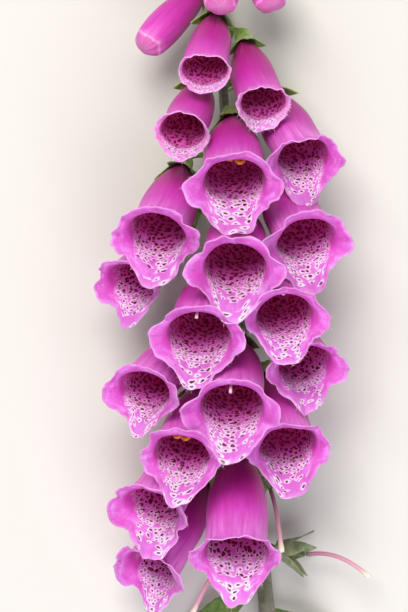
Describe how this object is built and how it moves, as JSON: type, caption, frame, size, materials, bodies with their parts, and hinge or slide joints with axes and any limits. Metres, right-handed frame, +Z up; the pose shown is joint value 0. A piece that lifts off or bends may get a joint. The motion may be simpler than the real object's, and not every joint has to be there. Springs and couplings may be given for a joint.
{
  "type": "foxglove flower spike",
  "caption": "Cut foxglove spike lying on its back: spotted magenta bells crowd one side of a downy stem, with buds at the tip and spent flowers below.",
  "frame": {"origin": "centre of the bottom of the bounding box, on the surface that the spike lies on", "axes": "+Y along the stem from its cut end to the tip, +Z up from the surface, the way the bells rise, +X to the right with the tip pointing away"},
  "size_m": [0.0974, 0.3522, 0.0692],
  "materials": {
    "stem_green": "downy green-grey stem, matt",
    "petal": "magenta-pink petal, satin, paler inside with dark ringed spots",
    "bud_petal": "closed petals, magenta with a pale folded tip, satin",
    "sepal": "green sepals and stalk, matt and downy",
    "green_bud": "young bud in its sepals, matt green",
    "spent": "grey-green seed pod with a pink style, matt",
    "leaf": "leaf green, matt, wrinkled"
  },
  "bodies": {
    "root": {"stem": "stem_green", "tip_buds": "green_bud", "corolla_01": "petal", "calyx_01": "sepal", "corolla_02": "petal", "calyx_02": "sepal", "corolla_03": "petal", "calyx_03": "sepal", "corolla_04": "petal", "calyx_04": "sepal", "corolla_05": "petal", "calyx_05": "sepal", "corolla_06": "petal", "calyx_06": "sepal", "corolla_07": "petal", "calyx_07": "sepal", "corolla_08": "petal", "calyx_08": "sepal", "corolla_09": "petal", "calyx_09": "sepal", "corolla_10": "petal", "calyx_10": "sepal", "corolla_11": "petal", "calyx_11": "sepal", "corolla_12": "petal", "calyx_12": "sepal", "corolla_13": "petal", "calyx_13": "sepal", "corolla_14": "petal", "calyx_14": "sepal", "corolla_15": "petal", "calyx_15": "sepal", "corolla_16": "petal", "calyx_16": "sepal", "corolla_17": "petal", "calyx_17": "sepal", "corolla_18": "petal", "calyx_18": "sepal", "corolla_19": "petal", "calyx_19": "sepal", "bud_1": "bud_petal", "bud_calyx_1": "sepal", "bud_2": "bud_petal", "bud_calyx_2": "sepal", "bud_3": "bud_petal", "bud_calyx_3": "sepal", "bud_4": "bud_petal", "bud_calyx_4": "sepal", "bud_5": "bud_petal", "bud_calyx_5": "sepal", "green_bud_1": "green_bud", "green_bud_2": "green_bud", "green_bud_3": "green_bud", "green_bud_4": "green_bud", "spent_flower_1": "spent", "spent_flower_2": "spent", "spent_flower_3": "spent", "spent_flower_4": "spent", "leaf_1": "leaf", "leaf_2": "leaf"}
  },
  "joints": []
}
